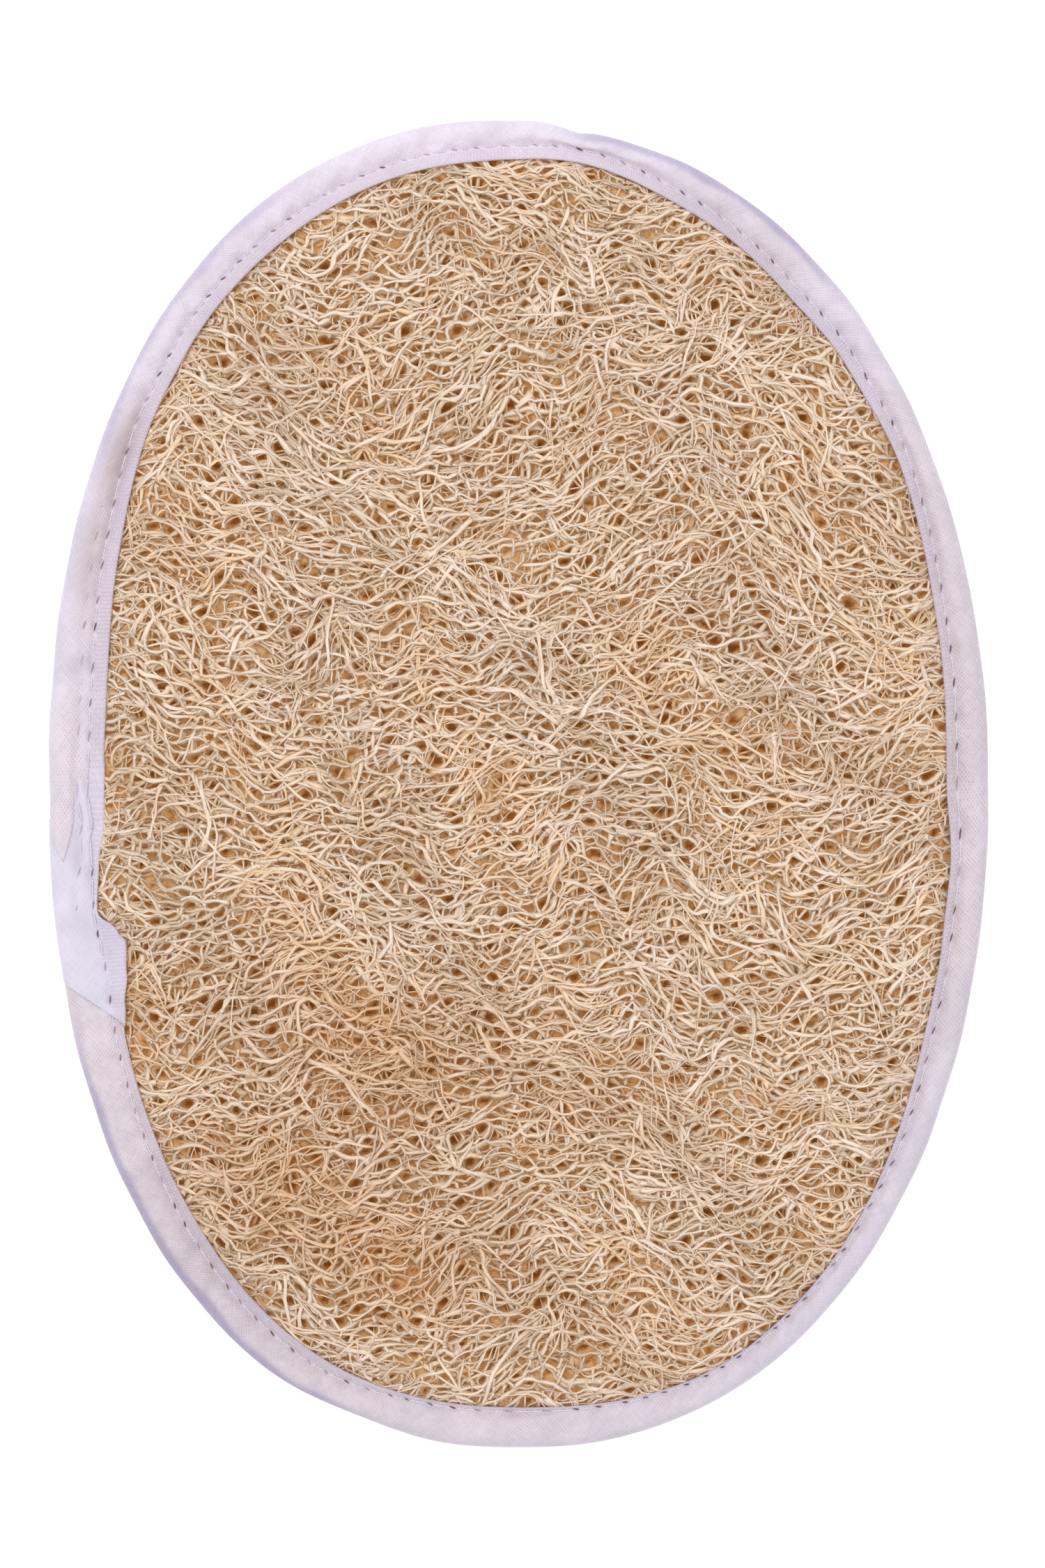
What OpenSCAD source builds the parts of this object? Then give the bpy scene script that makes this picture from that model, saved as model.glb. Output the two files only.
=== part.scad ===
// Oval loofah back scrubber. It lies on its hand strap with the loofah face up.
// X is across the pad, Y is along it, Z is up. The origin is on the surface that it lies on,
// below the middle of the oval. Units are millimetres.

/* [Pad outline] */
// Width of the whole pad across X
pad_w = 113; // [108:1:120]
// Length of the whole pad along Y
pad_l = 160; // [140:1:190]
// Roundness of each quarter of the rim, anticlockwise from +X: 2 is an ellipse
rim_power = [2.08, 2.23, 2.24, 2.18]; // [2:0.01:2.5]
// Roundness of each quarter of the oval inside the binding
face_power = [2.08, 2.38, 2.36, 2.44]; // [2:0.01:2.5]

/* [Layers] */
// Height of the loofah sheet's underside above the surface that the part lies on
loofah_z = 10.5; // [10:0.1:12]
// Thickness of the loofah sheet in the open
loofah_t = 4.5; // [3.5:0.1:8]
// Thickness of the loofah sheet where the seam presses it
loofah_rim_t = 2; // [1.5:0.1:2.5]
// Thickness of the foam core
foam_t = 2.2; // [1:0.1:2.4]
// Thickness of the back cloth in the open
cloth_t = 1.3; // [1:0.1:1.5]
// Thickness of the back cloth where the seam presses it
cloth_rim_t = 1; // [0.8:0.1:1.2]

/* [Binding] */
// Thickness of the folded binding tape
tape_t = 0.7; // [0.5:0.1:0.8]
// Mean width of the tape on the loofah face
tape_face_w = 5.5; // [5:0.1:6]
// Width of the tape on the back
tape_back_w = 6; // [5.5:0.1:6.5]
// How far the oval inside the tape lies towards +X of the rim's oval
face_shift = 0.65; // [0:0.05:1]

/* [Hand strap] */
// Width of the strap along Y
strap_w = 38; // [25:1:38]
// Thickness of the strap
strap_t = 1.4; // [1:0.1:1.5]
// Length of the flat crown that the part lies on
crown_l = 52; // [40:1:56]

/* [Stitching] */
// Number of stitches round the rim
stitches = 130; // [90:2:150]
// Thickness of the sewing thread
thread_d = 0.3; // [0.2:0.05:0.4]

/* [Hidden] */

rim_steps = 144;                             // sides of each oval
tall = 40;                                   // more than the part's height, for cutting
skin = 0.01;                                 // thickness of a hull's end slices

seam_bottom_z = loofah_z - cloth_rim_t;      // underside of the layers in the seam
seam_top_z = loofah_z + loofah_rim_t;        // top of the layers in the seam
tape_bottom_z = seam_bottom_z - tape_t;
tape_top_z = seam_top_z + tape_t;
foam_z = loofah_z - foam_t;
cloth_z = foam_z - cloth_t;                  // lowest level of the back cloth

layer_inset = tape_t + 0.8;                  // rim to the cut edge of the layers
slope_inset = 8;                             // rim to where the back cloth starts to bulge
cloth_crown_inset = 17;                      // rim to where it is at its lowest
loofah_slope_inset = 7;                      // rim to where the loofah starts to rise
loofah_crown_inset = 13;                     // rim to where it is at full height
foam_inset = 8.5;                            // rim to the foam's edge
foam_edge_t = 0.5;                           // thickness of the foam's edge

face_w = pad_w - 2 * tape_face_w - 0.7;      // the oval inside the binding
face_l = pad_l - 2 * tape_face_w + 0.8;
seam_margin = 1.6;                           // inner edge of the tape to the stitches
overlap_margin = 2.8;                        // and to the second, outer row
overlap_turns = [0.442, 0.525];              // where round the rim the second row runs

// The lap closes the rim at the left. Its cuts run on the bias, so its ends are at different
// steps round the rim at the outer edge and at the inner one.
lap_span = [74, 78];
lap_inner_span = [73, 80];
// Its raw inner edge is let out over the loofah, between its lower end and the last step here:
// each corner is a step round the face's oval, and a distance inside it
flap = [[79.1, 0.5], [76.9, 2.1], [75.5, -0.7], [75, 0]];

pocket_steps = 6;                            // steps each way from X that the tape's bulges take
pocket_z = seam_bottom_z - strap_t;          // underside of the strap's sewn ends
strap_seam_x = pad_w / 2 - 1.5;              // end of the strap inside the binding
strap_clear = 0.35;                          // free strap to the tape, at the strap's corners
strap_gap = 0.2;                             // cut between the sewn ends and the free stretch
strap_drop = 0.3;                            // step down there, clear of the back cloth
bend_steps = 14;                             // steps in each bend of the strap

function side(v) = v < 0 ? -1 : 1;
function quarter(angle) = floor((angle % 360) / 90);

// A point on an oval whose four quarters have their own roundness
function oval_point(angle, w, l, power, shift = 0) =
    let (c = cos(angle), s = sin(angle), p = power[quarter(angle)])
    [shift + w / 2 * side(c) * pow(abs(c), 2 / p), l / 2 * side(s) * pow(abs(s), 2 / p)];

// Half the width of the oval inside the back's tape, at a distance along the pad from the middle
function tape_edge_x(y) =
    let (p = min(rim_power))
    (pad_w / 2 - tape_back_w) * pow(1 - pow(y / (pad_l / 2 - tape_back_w), p), 1 / p);

strap_start_x = tape_edge_x(strap_w / 2) - strap_clear; // end of the free stretch
strap_free_x = strap_start_x + strap_gap;               // inner edge of the sewn ends

module level(z, t, outline) {
    translate([0, 0, z]) linear_extrude(t) polygon(outline);
}

module oval(w, l, power, shift = 0) {
    polygon([for (i = [0:rim_steps - 1]) oval_point(360 * i / rim_steps, w, l, power, shift)]);
}

// A flat layer whose edge is the given distance inside the rim
module slab(inset, z, t) {
    translate([0, 0, z]) linear_extrude(t) oval(pad_w - 2 * inset, pad_l - 2 * inset, rim_power);
}

// A layer that narrows or widens from one level to another
module tapered(low_inset, low_z, high_inset, high_z, high_t = skin) {
    hull() {
        slab(low_inset, low_z, skin);
        slab(high_inset, high_z - high_t, high_t);
    }
}

// A point on the oval inside the binding, or the given distance inside that
function face_at(i, inset = 0) =
    oval_point(360 * i / rim_steps, face_w - 2 * inset, face_l - 2 * inset, face_power, face_shift);

flap_outline = [for (corner = flap) face_at(corner[0], corner[1])];

// Room in the loofah for the raw edge that is let out over it
module flap_room() {
    level(seam_top_z, tall, concat([face_at(lap_inner_span[1])], flap_outline));
}

module foam_shape() {
    tapered(cloth_crown_inset, foam_z, foam_inset, loofah_z, foam_edge_t);
}

module loofah_pad() {
    color("burlywood") difference() {
        union() {
            slab(layer_inset, loofah_z, loofah_rim_t);
            tapered(loofah_slope_inset, seam_top_z - skin, loofah_crown_inset, loofah_z + loofah_t);
        }
        flap_room();
    }
}

module foam_core() {
    color("wheat") foam_shape();
}

module back_cloth() {
    color("ivory") difference() {
        union() {
            slab(layer_inset, seam_bottom_z, cloth_rim_t);
            tapered(cloth_crown_inset, cloth_z, slope_inset, seam_bottom_z + skin);
        }
        foam_shape();
    }
}

// Both sewn ends of the strap, which the binding bulges over
module strap_end(x_side) {
    x = x_side < 0 ? -strap_seam_x : strap_free_x;
    translate([x, -strap_w / 2, pocket_z])
        cube([strap_seam_x - strap_free_x, strap_w, strap_t]);
}

function rim_at(i, inset = 0) =
    oval_point(360 * i / rim_steps, pad_w - 2 * inset, pad_l - 2 * inset, rim_power);

// Outline of the strip between the rim and the oval that is the given distance inside it
function strip(span, inner_span, inset) = concat(
    [for (i = [span[0]:span[1]]) rim_at(i)],
    [for (i = [inner_span[1]:-1:inner_span[0]]) rim_at(i, inset)]);

// One piece of tape folded round the rim, as flat levels from the back to the face. Its ends are
// given as steps round the rim, at its outer and inner edges. Where it bulges over the strap's
// sewn ends, between the steps in pockets, it has one more level.
module folded_tape(span, inner_span, face_outline, pockets) {
    difference() {
        union() {
            for (pocket = pockets)
                level(pocket_z - tape_t, tape_bottom_z - pocket_z + tape_t,
                      strip(pocket[0], pocket[1], tape_back_w));
            level(tape_bottom_z, tape_t, strip(span, inner_span, tape_back_w));
            level(seam_bottom_z, seam_top_z - seam_bottom_z, strip(span, span, tape_t));
            level(seam_top_z, tape_t, face_outline);
        }
        for (x_side = [-1, 1]) strap_end(x_side);
    }
}

module binding_tape() {
    span = [lap_span[1], lap_span[0] + rim_steps];
    inner_span = [lap_inner_span[1], lap_inner_span[0] + rim_steps];
    half_turn = rim_steps / 2;
    face_outline = concat(
        [for (i = [span[0]:span[1]]) rim_at(i)],
        [for (i = [inner_span[1]:-1:inner_span[0]]) face_at(i)]);
    right = [rim_steps - pocket_steps, rim_steps + pocket_steps];
    left_start = half_turn - pocket_steps;
    color("lavender") folded_tape(span, inner_span, face_outline, [
        [right, right],
        [[rim_steps + left_start, span[1]], [rim_steps + left_start, inner_span[1]]]]);
}

module binding_lap() {
    face_outline = concat(
        [for (i = [lap_span[0]:lap_span[1]]) rim_at(i)],
        [face_at(lap_inner_span[1])],
        flap_outline,
        [for (i = [flap[len(flap) - 1][0] - 1:-1:lap_inner_span[0]]) face_at(i)]);
    pocket_end = rim_steps / 2 + pocket_steps;
    color("ghostwhite") folded_tape(lap_span, lap_inner_span, face_outline, [
        [[lap_span[0], pocket_end], [lap_inner_span[0], pocket_end]]]);
}

function seam_point(i, margin) =
    oval_point(360 * i / stitches, face_w + 2 * margin, face_l + 2 * margin, face_power, face_shift);

// One stitch from the hole at a to just short of the hole at b: the thread lies along the tape
// and one leg of it goes through the layers. Up is -1 on the back.
module stitch(a, b, z, leg_l, up) {
    pitch = norm(b - a);
    bar_l = pitch - 2 * thread_d;
    translate([a[0], a[1], z]) rotate([90, 0, atan2(b[1] - a[1], b[0] - a[0])])
        linear_extrude(thread_d, center = true) polygon([
            [0, up * thread_d], [bar_l, up * thread_d], [bar_l, 0],
            [thread_d, 0], [thread_d, -up * leg_l], [0, -up * leg_l]]);
}

module needle_thread() {
    color("white") for (i = [0:stitches - 1])
        stitch(seam_point(i, seam_margin), seam_point(i + 1, seam_margin),
               tape_top_z, tape_top_z - loofah_z, 1);
}

module overlap_thread() {
    first = round(overlap_turns[0] * stitches);
    last = round(overlap_turns[1] * stitches);
    color("white") for (i = [first:last])
        stitch(seam_point(i, overlap_margin), seam_point(i + 1, overlap_margin),
               tape_top_z, tape_top_z - loofah_z, 1);
}

module bobbin_thread() {
    pocket_half = rim_at(pocket_steps)[1];
    color("white") for (i = [0:stitches - 1]) {
        a = seam_point(i, seam_margin);
        b = seam_point(i + 1, seam_margin);
        over_strap = abs(a[1] + b[1]) / 2 < pocket_half;
        z = over_strap ? pocket_z - tape_t : tape_bottom_z;
        stitch(a, b, z, loofah_z - z, -1);
    }
}

module strap_end_left() {
    color("gainsboro") strap_end(-1);
}

module strap_end_right() {
    color("gainsboro") strap_end(1);
}

// Height of the free strap's underside: flat in the middle, then rising to the seam
function strap_under(x) =
    let (rise = pocket_z - strap_drop, run = (strap_start_x - abs(x)) / (strap_start_x - crown_l / 2))
    run >= 1 ? 0 : rise * (1 - sin(90 * run));

module hand_strap() {
    bend_l = strap_start_x - crown_l / 2;
    half = [for (i = [0:bend_steps]) crown_l / 2 + bend_l * i / bend_steps];
    xs = concat([for (i = [bend_steps:-1:0]) -half[i]], half);
    under = [for (x = xs) [x, strap_under(x)]];
    over = [for (i = [len(xs) - 1:-1:0]) [xs[i], strap_under(xs[i]) + strap_t]];
    color("gainsboro") rotate([90, 0, 0])
        linear_extrude(strap_w, center = true) polygon(concat(under, over));
}

loofah_pad();
foam_core();
back_cloth();
binding_tape();
binding_lap();
needle_thread();
bobbin_thread();
overlap_thread();
strap_end_left();
strap_end_right();
hand_strap();
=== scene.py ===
"""Looks of the oval loofah back scrubber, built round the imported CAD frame.

Lengths here are millimetres in the CAD's own axes, and become metres as a mesh is made. Angles
round the rim are the ovals' own parameter, anticlockwise from +X, and in radians unless a name
says degrees.
"""

import math

import bpy
import numpy as np
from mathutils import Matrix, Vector


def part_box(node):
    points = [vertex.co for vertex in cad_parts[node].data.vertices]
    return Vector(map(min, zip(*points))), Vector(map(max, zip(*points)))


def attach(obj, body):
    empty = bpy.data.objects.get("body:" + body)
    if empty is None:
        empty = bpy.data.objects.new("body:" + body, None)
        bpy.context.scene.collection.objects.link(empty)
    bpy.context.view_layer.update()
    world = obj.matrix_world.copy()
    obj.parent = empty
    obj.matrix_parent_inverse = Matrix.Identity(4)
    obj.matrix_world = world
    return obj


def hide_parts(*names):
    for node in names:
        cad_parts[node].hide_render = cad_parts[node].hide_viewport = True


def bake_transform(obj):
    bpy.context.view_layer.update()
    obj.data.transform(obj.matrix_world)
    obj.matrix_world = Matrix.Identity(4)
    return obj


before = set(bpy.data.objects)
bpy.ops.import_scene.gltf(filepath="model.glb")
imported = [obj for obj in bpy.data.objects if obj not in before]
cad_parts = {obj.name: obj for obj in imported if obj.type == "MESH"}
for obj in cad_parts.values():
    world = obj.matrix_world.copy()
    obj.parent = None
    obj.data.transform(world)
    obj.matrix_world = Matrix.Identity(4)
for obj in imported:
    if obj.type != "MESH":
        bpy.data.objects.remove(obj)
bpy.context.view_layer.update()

MM = 0.001
TURN = 2 * math.pi


# ---- sizes, from the frame


def box_mm(node):
    """Lowest and highest corner of a CAD node, in millimetres."""
    low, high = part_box(node)
    return np.array(low) / MM, np.array(high) / MM


LOOFAH_LOW, LOOFAH_HIGH = box_mm("loofah_pad")
STRAP_END_LOW, STRAP_END_HIGH = box_mm("strap_end_right")
TAPE_HIGH = box_mm("binding_tape")[1]
STRAP_HIGH = box_mm("hand_strap")[1]
CLOTH_LOW = box_mm("back_cloth")[0]

HALF_W, HALF_L = TAPE_HIGH[:2]
PRESSED_T = 2.0
SEAM_LOW_Z = STRAP_END_HIGH[2]
SEAM_TOP_Z = LOOFAH_LOW[2] + PRESSED_T
TAPE_T = TAPE_HIGH[2] - SEAM_TOP_Z
TAPE_BACK_W = 6.0

# The rim and the oval inside the binding are superellipses with a power for each quarter
RIM_POWER = (2.08, 2.23, 2.24, 2.18)
FACE_POWER = (2.08, 2.38, 2.36, 2.44)
FACE_HALF_W = HALF_W - 5.85
FACE_HALF_L = HALF_L - 5.1
FACE_SHIFT = 0.65

# Tables that go round the rim, as (degrees from +X, value). OUTLINE and EDGE are how far the rim
# and the binding's inner edge depart from the ovals, and LIP is the width inside the stitches.
OUTLINE = ((0, 0), (50, -0.2), (74, -0.75), (80, -1.0), (84.7, -0.95), (89, -0.25), (97, 0),
           (150, 0), (165, 0.1), (200, 0), (246, 0), (256, -0.55), (264, 0))
NOTCH_DEGREES = 84.7
NOTCH_SPREAD = 0.9
NOTCH_DEPTH = 0.35
EDGE = ((0, 0), (20, -0.3), (40, -0.8), (52, 0), (62, 0.9), (74, 0.9), (86, 0), (95, 0.2),
        (112, 0.7), (128, 0), (137, -0.4), (150, 0), (165, 0.3), (185, 0.2), (191, -0.6),
        (197, -1.1), (200.4, 1.2), (202, 2.1), (206, 1.7), (209, 0.9), (213, 0.1), (235, 0.4),
        (255, 0), (285, 0), (300, 0.5), (325, 0.4), (340, -0.2), (350, -0.6))
LIP = ((0, 1.3), (30, 1.2), (60, 1.5), (92, 1.7), (130, 1.7), (170, 1.9), (181, 2.0), (187, 1.4),
       (191, 0.85), (197, 0.45), (200.4, 2.5), (202, 3.0), (206, 2.4), (209, 1.7), (213, 1.15),
       (235, 1.4), (250, 1.3), (262, 0.55), (285, 0.4), (308, 0.45), (318, 0.9), (335, 1.2))

# Painted light and shade: the cloth lighter or darker by side, and darker on its turned-down side
SIDE_PAINTED_LIGHT = ((0, 0.88), (30, 0.92), (58, 0.89), (75, 0.98), (90, 1.04), (135, 0.97), (160, 0.93),
         (182, 0.95), (200, 0.95), (225, 0.82), (250, 0.88), (270, 0.89), (320, 0.89))
RIM_PAINTED_SHADE = ((0, 0.15), (46, 0.15), (54, 0.9), (78, 0.9), (88, 0.1), (112, 0.1), (125, 0.6),
            (148, 0.6), (158, 0.15), (196, 0.15), (206, 1.0), (246, 1.0), (257, 0.15))

STITCHES = 130
STITCH_PITCH = 3.2
STEPS_PER_STITCH = 7
OVERLAP_DEGREES = (159, 188)
OVERLAP_MARGIN = 1.25
THREAD_D = 0.2


# ---- shape helpers


def smoothstep(edge0, edge1, value):
    t = np.clip((value - edge0) / (edge1 - edge0), 0, 1)
    return t * t * (3 - 2 * t)


def superellipse(angle, half_w, half_l, power, shift=0.0):
    """Points on an oval whose four quarters have their own power."""
    turn = np.mod(np.asarray(angle, float), TURN)
    power = np.array(power)[np.minimum((turn / (math.pi / 2)).astype(int), 3)]
    cos, sin = np.cos(turn), np.sin(turn)
    x = half_w * np.sign(cos) * np.abs(cos) ** (2 / power)
    y = half_l * np.sign(sin) * np.abs(sin) ** (2 / power)
    return np.stack([x + shift, y], -1)


def degrees_at(points):
    """Direction of points from the middle, in degrees from +X."""
    return np.degrees(np.arctan2(points[..., 1], points[..., 0])) % 360


def lookup(table, degrees):
    """Eases between a table's values, right round the rim."""
    at, values = np.array([*table, (table[0][0] + 360, table[0][1])], float).T
    k = np.clip(np.searchsorted(at, degrees, side="right") - 1, 0, len(at) - 2)
    ease = smoothstep(0, 1, (degrees - at[k]) / (at[k + 1] - at[k]))
    return values[k] + (values[k + 1] - values[k]) * ease


def rim_point(angle):
    """The rim's outline, with its notch and flats."""
    base = superellipse(angle, HALF_W, HALF_L, RIM_POWER)
    degrees = degrees_at(base)
    notch = NOTCH_DEPTH * np.exp(-np.abs(degrees - NOTCH_DEGREES) / NOTCH_SPREAD)
    change = lookup(OUTLINE, degrees) - notch
    outward = base / np.linalg.norm(base, axis=-1, keepdims=True)
    return base + outward * change[..., None]


def edge_point(angle):
    """The binding's inner edge on the face."""
    base = superellipse(angle, FACE_HALF_W, FACE_HALF_L, FACE_POWER, FACE_SHIFT)
    outward = base / np.linalg.norm(base, axis=-1, keepdims=True)
    return base - outward * lookup(EDGE, degrees_at(base))[..., None]


EDGE_POINTS = edge_point(np.linspace(0, TURN, 2881))[:-1]
EDGE_ORDER = np.argsort(degrees_at(EDGE_POINTS))
EDGE_DEGREES = degrees_at(EDGE_POINTS)[EDGE_ORDER]
EDGE_RADII = np.linalg.norm(EDGE_POINTS, axis=1)[EDGE_ORDER]


def inside_edge(x, y):
    """How far a point is inside the binding's inner edge; negative under the binding."""
    degrees = np.degrees(np.arctan2(y, x)) % 360
    return np.interp(degrees, EDGE_DEGREES, EDGE_RADII, period=360) - np.hypot(x, y)


class Waves:
    """Smooth noise of about unit size, from sine waves with seeded directions and phases."""

    def __init__(self, seed, wavelength, count=9):
        rng = np.random.default_rng(seed)
        heading = rng.uniform(0, TURN, count)
        length = wavelength * rng.uniform(0.7, 1.5, count)
        self.kx = np.cos(heading) * TURN / length
        self.ky = np.sin(heading) * TURN / length
        self.phase = rng.uniform(0, TURN, count)
        self.size = math.sqrt(2 / count)

    def __call__(self, x, y):
        total = np.zeros(np.broadcast(x, y).shape)
        for kx, ky, phase in zip(self.kx, self.ky, self.phase):
            total += np.sin(kx * x + ky * y + phase)
        return total * self.size


def bezier(p0, p1, p2, p3, count, last=True):
    """Points along a cubic curve. Each of its four points is (d, z), as numbers or arrays."""
    t = np.linspace(0, 1, count, endpoint=last)
    weights = ((1 - t) ** 3, 3 * t * (1 - t) ** 2, 3 * t * t * (1 - t), t**3)
    parts = []
    for axis in (0, 1):
        columns = [np.asarray(p[axis], float)[..., None] for p in (p0, p1, p2, p3)]
        parts.append(sum(w * c for w, c in zip(weights, columns)))
    return np.broadcast_arrays(*parts)


def make_mesh(name, points, quads, material, attributes=None, ngons=(), smooth=True):
    """A mesh object from points in millimetres, an array of quads and a few larger faces."""
    mesh = bpy.data.meshes.new(name)
    points = np.asarray(points, np.float32).reshape(-1, 3) * MM
    quads = np.asarray(quads, np.int32).reshape(-1, 4)
    sizes = np.concatenate([np.full(len(quads), 4), [len(ring) for ring in ngons]])
    corners = np.concatenate([quads.ravel(), *ngons]).astype(np.int32)
    starts = np.concatenate([[0], np.cumsum(sizes)[:-1]]).astype(np.int32)
    mesh.vertices.add(len(points))
    mesh.vertices.foreach_set("co", points.ravel())
    mesh.loops.add(len(corners))
    mesh.loops.foreach_set("vertex_index", corners)
    mesh.polygons.add(len(sizes))
    mesh.polygons.foreach_set("loop_start", starts)
    for key, values in (attributes or {}).items():
        values = np.asarray(values, np.float32)
        kind, field = ("FLOAT", "value") if values.ndim == 1 else ("FLOAT_VECTOR", "vector")
        layer = mesh.attributes.new(key, kind, "POINT")
        layer.data.foreach_set(field, values.ravel())
    mesh.update(calc_edges=True)
    mesh.polygons.foreach_set("use_smooth", np.full(len(sizes), smooth))
    mesh.materials.append(material)
    obj = bpy.data.objects.new(name, mesh)
    bpy.context.scene.collection.objects.link(obj)
    return obj


def grid_quads(index, wrap=False):
    """Quads between the points of an index grid; wrap joins its last row to its first."""
    rows = np.concatenate([index, index[:1]]) if wrap else index
    return np.stack([rows[:-1, :-1], rows[1:, :-1], rows[1:, 1:], rows[:-1, 1:]], -1).reshape(-1, 4)


def border_of(index):
    """The index grid's border, as one ring."""
    return np.concatenate([index[0, :-1], index[:-1, -1], index[-1, :0:-1], index[:0:-1, 0]])


def shell(name, outer, inner, material, attributes, flip=False):
    """A closed sheet between two grids of points that are joined along their borders. The outer
    face of a grid is the side from which its rows run anticlockwise of its columns."""
    shape = outer.shape[:2]
    index = np.arange(outer.shape[0] * outer.shape[1]).reshape(shape)
    under = index + index.size
    ring, ring_under = border_of(index), border_of(under)
    wall = np.stack([ring, np.roll(ring, -1), np.roll(ring_under, -1), ring_under], -1)
    quads = np.concatenate([grid_quads(index), grid_quads(under)[:, ::-1], wall])
    if flip:
        quads = quads[:, ::-1]
    both = {key: np.concatenate([np.asarray(v).reshape(index.size, -1)] * 2).squeeze()
            for key, v in attributes.items()}
    points = np.concatenate([outer.reshape(-1, 3), inner.reshape(-1, 3)])
    return make_mesh(name, points, quads, material, both)


def oval_grid(columns, rows, inset):
    """A grid of (x, y) that fills the rim's oval to a distance inside it, without a pole."""
    a, b = np.meshgrid(np.linspace(-1, 1, columns), np.linspace(-1, 1, rows), indexing="ij")
    u, v = a * np.sqrt(1 - b * b / 2), b * np.sqrt(1 - a * a / 2)
    reach, angle = np.minimum(np.hypot(u, v), 1), np.arctan2(v, u)
    oval = superellipse(angle, HALF_W - inset, HALF_L - inset, RIM_POWER)
    return oval * reach[..., None], reach


def tubes(path, width, height, twist, sides):
    """Closed tubes of elliptical section round centre lines of shape (tube, step, 3): points,
    quads, and each point's distance along its tube and angle round it."""
    count, steps, _ = path.shape
    tangent = np.gradient(path, axis=1)
    tangent /= np.linalg.norm(tangent, axis=2, keepdims=True) + 1e-9
    side = np.cross(np.array([0, 0, 1.0]), tangent)
    side /= np.linalg.norm(side, axis=2, keepdims=True) + 1e-9
    up = np.cross(tangent, side)
    angle = TURN * np.arange(sides) / sides
    cos, sin = np.cos(twist)[..., None], np.sin(twist)[..., None]
    across, through = side * cos + up * sin, up * cos - side * sin
    ring = (across[:, :, None] * (np.cos(angle)[:, None] * width[:, :, None, None] / 2)
            + through[:, :, None] * (np.sin(angle)[:, None] * height[:, :, None, None] / 2))
    index = np.arange(count * steps * sides).reshape(count, steps, sides)
    following = np.roll(index, -1, axis=2)
    wall = np.stack([index[:, :-1], following[:, :-1], following[:, 1:], index[:, 1:]], -1)
    quads = [wall.reshape(-1, 4)]
    for k in range(sides // 2 - 1):
        corners = [k, k + 1, sides - 2 - k, sides - 1 - k]
        quads.append(index[:, 0][:, corners[::-1]])
        quads.append(index[:, -1][:, corners])
    length = np.cumsum(np.linalg.norm(np.diff(path, axis=1), axis=2), axis=1)
    along = np.repeat(np.concatenate([np.zeros((count, 1)), length], 1)[:, :, None], sides, 2)
    around = np.broadcast_to(angle, (count, steps, sides))
    return path[:, :, None] + ring, np.concatenate(quads), along, around


# ---- material helpers


def srgb(red, green, blue):
    """A colour given as display values from 0 to 255, as the linear values that a shader takes."""

    def linear(value):
        value /= 255
        return value / 12.92 if value <= 0.04045 else ((value + 0.055) / 1.055) ** 2.4

    return linear(red), linear(green), linear(blue), 1.0


class Nodes:
    """Short forms for building a material's node tree."""

    def __init__(self, name):
        self.material = bpy.data.materials.new(name)
        self.material.use_nodes = True
        self.tree = self.material.node_tree
        self.shader = self.tree.nodes["Principled BSDF"]

    def add(self, kind, *values, **settings):
        """A node with its settings and its first inputs; an input given as None is left alone."""
        node = self.tree.nodes.new("ShaderNode" + kind)
        for key, value in settings.items():
            setattr(node, key, value)
        for socket, value in zip(node.inputs, values):
            self.put(socket, value)
        return node

    def put(self, socket, value):
        if isinstance(value, bpy.types.NodeSocket):
            self.tree.links.new(value, socket)
        elif value is not None:
            socket.default_value = value

    def math(self, operation, *values, clamp=False):
        return self.add("Math", *values, operation=operation, use_clamp=clamp).outputs[0]

    def times(self, a, b):
        return self.math("MULTIPLY", a, b)

    def plus(self, a, b):
        return self.math("ADD", a, b)

    def attribute(self, name, output="Fac"):
        return self.add("Attribute", attribute_name=name).outputs[output]

    def place(self):
        return self.add("TexCoord").outputs["Object"]

    def split(self, vector):
        return self.add("SeparateXYZ", vector).outputs

    def vector(self, *values):
        return self.add("CombineXYZ", *values).outputs[0]

    def noise(self, vector, scale, detail=2.0, roughness=0.5):
        return self.add("TexNoise", vector, None, scale, detail, roughness).outputs["Fac"]

    def ramp(self, factor, *stops):
        node = self.add("ValToRGB", factor)
        elements = node.color_ramp.elements
        while len(elements) < len(stops):
            elements.new(0.5)
        for element, (position, color) in zip(elements, stops):
            element.position = position
            element.color = color
        return node.outputs[0]

    def mix(self, factor, a, b, blend="MIX"):
        node = self.add("Mix", factor, data_type="RGBA", blend_type=blend)
        self.put(node.inputs[6], a)
        self.put(node.inputs[7], b)
        return node.outputs[2]

    def tint(self, color, by, amount=1.0):
        """A colour multiplied by another."""
        return self.mix(amount, color, by, "MULTIPLY")

    def span(self, value, low, high, to_low=0.0, to_high=1.0):
        return self.add("MapRange", value, low, high, to_low, to_high).outputs[0]

    def wave(self, operation, value):
        """A sine or cosine wave between 0 and 1, with a length of 1."""
        return self.plus(self.times(self.math(operation, self.times(value, TURN)), 0.5), 0.5)

    def grey(self, value):
        return self.vector(value, value, value)

    def bump(self, height, distance, strength=1.0):
        node = self.add("Bump")
        self.put(node.inputs["Height"], height)
        self.put(node.inputs["Distance"], distance)
        self.put(node.inputs["Strength"], strength)
        return node.outputs[0]

    def finish(self, color, normal=None, **sockets):
        self.put(self.shader.inputs["Base Color"], color)
        self.put(self.shader.inputs["Normal"], normal)
        for key, value in sockets.items():
            self.put(self.shader.inputs[key.replace("_", " ")], value)
        return self.material


# ---- materials

# A faint glow, which stands in for the light that comes through the thin fibres
THROUGH_LIGHT = srgb(242, 170, 88)
THROUGH_STRENGTH = 0.08
BROWN = srgb(238, 222, 206)


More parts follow.
